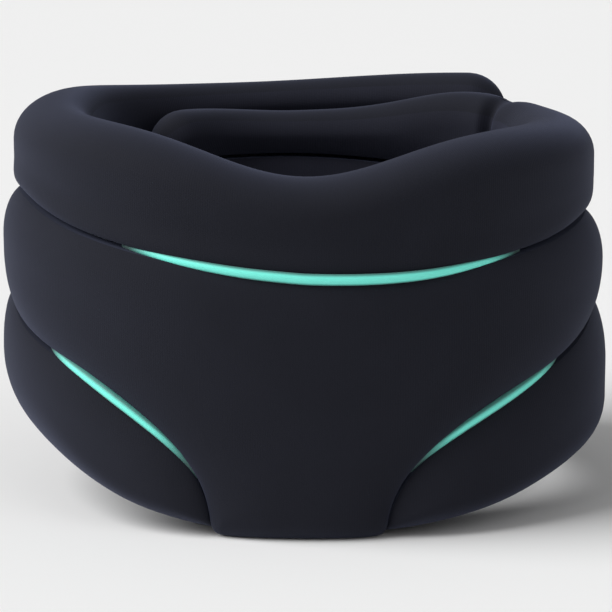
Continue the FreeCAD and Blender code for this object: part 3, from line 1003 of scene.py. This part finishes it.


# %% [markdown]
# ## The knits
# The outer fabric is a fine knit with a brushed face: columns of small V-shaped loops,
# blurred by fibres. It is painted a little paler on the rim, the bottom edge and the crowns of the rolls, a
# painted highlight that leaves the grooves darker. The liner is a smoother, finer knit with narrow ribs.
# Both are nearly black, with a cold blue in them, and the brushed face catches light at a grazing angle,
# which is what sheen is for.

# %% The outer knit
def outer_knit():
    material, along, across, both = finish_of("outer_knit", 0.22, 0.12, 0.5, rgb(0.52, 0.60, 1.0))
    wale, course = 0.00060, 0.00048  # metres between columns and between rows of loops
    column = (along / wale).of("FRACT")
    leg = (column - 0.5).of("ABSOLUTE")
    loop = wave(across / course + leg * 1.1, 1.0)
    ridge = (column * PI).of("SINE") ** 0.7
    fibres = clouds(both, 0.00045, 3.0)
    bloom = clouds(both, 0.019, 3.0)
    painted_light = shade_of(both, "painted_light")
    # painted highlight: the rim, the bottom edge and the crowns of the rolls are painted paler, and the
    # grooves stay darker
    pale = (0.12 * ridge * loop + 0.34 * fibres + 0.42 * bloom - 0.12 + 0.34 * painted_light).held()
    colour = mix(pale, rgb(0.0035, 0.0038, 0.0070), rgb(0.0105, 0.0113, 0.0185))
    height = 0.55 * ridge * (0.45 + 0.55 * loop) + 0.45 * fibres
    return wear(material, colour, 0.80 + 0.14 * fibres, height, 0.00011, 0.45)


# %% The liner
def liner_knit():
    material, along, across, both = finish_of("liner_knit", 0.22, 0.16, 0.45, rgb(0.52, 0.60, 1.0))
    ridge = wave(along, 0.0008)  # metres from rib to rib
    rows = wave(across, 0.0005)
    fibres = clouds(both, 0.0004, 2.0)
    bloom = clouds(both, 0.024, 2.0)
    pale = (0.20 * ridge + 0.30 * fibres + 0.50 * bloom - 0.12).held()
    colour = mix(pale, rgb(0.0066, 0.0070, 0.0130), rgb(0.0165, 0.0178, 0.0320))
    height = 0.45 * ridge + 0.2 * rows + 0.35 * fibres
    return wear(material, colour, 0.78 + 0.12 * fibres, height, 0.00010, 0.4)


# %% [markdown]
# ## Piping, tapes and thread
# The piping is covered in satin cut on the slant, so its threads run round it at an
# angle. Hook tape is moulded nylon: rows of tiny stiff hooks. Loop tape is a soft pile.
# The thread is twisted.

# %% Satin for the piping
def piping_satin():
    material, along, across, both = finish_of("piping_mint", 0.45, 0.25, 0.35, rgb(0.75, 1.0, 0.95))
    thread = wave(along + across, 0.00042)  # metres from thread to thread
    fibres = clouds(both, 0.0006, 2.0)
    pull = clouds(both, 0.009, 2.0)
    pale = (0.45 * thread + 0.25 * fibres + 0.45 * pull - 0.1).held()
    dark_ends_and_painted_shade = shade_of(both, "dark_ends_and_painted_shade")
    colour = mix(pale, rgb(0.12, 0.84, 0.68), rgb(0.26, 0.97, 0.84))
    # painted shade on the piping's sides, and a darker colour towards its ends
    colour = mix((dark_ends_and_painted_shade + 0.2 * pull * dark_ends_and_painted_shade).held(), colour, rgb(0.035, 0.085, 0.080))
    return wear(material, colour, 0.42 + 0.16 * fibres, 0.7 * thread + 0.3 * fibres, 0.00012, 0.5)


# %% Hook tape, loop tape and thread
def hook_tape():
    material, along, across, both = finish_of("hook_tape", 0.5)
    pitch = 0.0013  # metres from hook to hook
    hooks = (along * (2 * PI / pitch)).of("SINE") * (across * (2 * PI / pitch)).of("SINE")
    tips = (hooks * 1.6 - 0.2).held()
    grain = clouds(both, 0.0005, 2.0)
    colour = mix((tips * 0.7 + grain * 0.3).held(), rgb(0.006, 0.006, 0.008), rgb(0.030, 0.031, 0.037))
    return wear(material, colour, 0.62 - 0.22 * tips, tips * 0.8 + grain * 0.2, 0.0006, 0.9)


def loop_tape():
    material, _, across, both = finish_of("loop_tape", 0.2, 0.3, 0.4, rgb(0.6, 0.66, 0.95))
    pile = clouds(both, 0.0009, 4.0)
    brushed = clouds(both, 0.006, 3.0)
    ground = wave(across, 0.0016)  # metres between the rows of its ground
    colour = mix((0.6 * pile + 0.4 * brushed).held(), rgb(0.004, 0.0045, 0.007), rgb(0.020, 0.022, 0.031))
    return wear(material, colour, 0.86 + 0.1 * pile, 0.8 * pile + 0.2 * ground, 0.0006, 0.9)


def sewing_thread():
    material, along, across, _ = finish_of("sewing_thread", 0.35, 0.1, 0.4)
    twist = wave(along * 3.0 + across, 3.0)
    colour = mix(twist, rgb(0.008, 0.009, 0.014), rgb(0.022, 0.024, 0.034))
    return wear(material, colour, 0.55 + 0.15 * twist, twist, 0.00008, 0.5)


# %% Dress every piece
def dress(pieces, *finishes):
    """Give pieces their finishes, in the order of their slots."""
    for piece in pieces:
        for finish in finishes:
            piece.data.materials.append(finish)


outer = outer_knit()
dress(padding.values(), outer, liner_knit())
dress(piping.values(), piping_satin())
tape_finish = {"hook": hook_tape(), "loop": loop_tape()}
for name, piece in tapes.items():
    dress([piece], tape_finish[name.split("_")[0]])
dress(webs.values(), outer)
dress(threads.values(), sewing_thread())
print(len(padding), "padded pieces,", len(piping), "pieces of piping,", len(tapes), "strips")

# %% [markdown]
# ## Floor and light
# The collar stands on a wide pale floor. Two soft suns light it: a strong one high on the
# left, which leaves the right side and the grooves dark, and a weak one from the front on
# the right. A pale even sky fills the shadows.

# %% Floor
FLOOR_REACH = 30.0  # metres from the middle to each edge
floor_mesh = bpy.data.meshes.new("floor")
floor_corners = [(x * FLOOR_REACH, y * FLOOR_REACH, 0) for x, y in ((-1, -1), (1, -1), (1, 1), (-1, 1))]
floor_mesh.from_pydata(floor_corners, [], [(0, 1, 2, 3)])
floor = add_object("floor", floor_mesh)
floor_mesh.materials.append(new_material(
    "floor_paint", Base_Color=rgb(0.87, 0.87, 0.87), Roughness=0.8, Specular_IOR_Level=0.2))

# %% Light
SUNS = {
    "key": ((-1.0, -0.22, 0.85), 3.3, 50.0),  # from where, how strong, how wide in degrees
    "fill": ((0.8, -1.0, 0.8), 0.35, 60.0),
}
SKY = 0.3
for name, (source, energy, width) in SUNS.items():
    sun = bpy.data.lights.new(name, "SUN")
    sun.energy = energy
    sun.angle = math.radians(width)
    lamp = add_object(name, sun)
    lamp.location = source
    lamp.rotation_euler = (-Vector(source)).to_track_quat("-Z", "Y").to_euler()
world = bpy.data.worlds.new("sky")
world.use_nodes = True
world.node_tree.nodes["Background"].inputs["Color"].default_value = rgb(1.0, 1.0, 1.0)
world.node_tree.nodes["Background"].inputs["Strength"].default_value = SKY
bpy.context.scene.world = world
bpy.context.scene.view_settings.view_transform = "Standard"
print("suns:", ", ".join(SUNS))
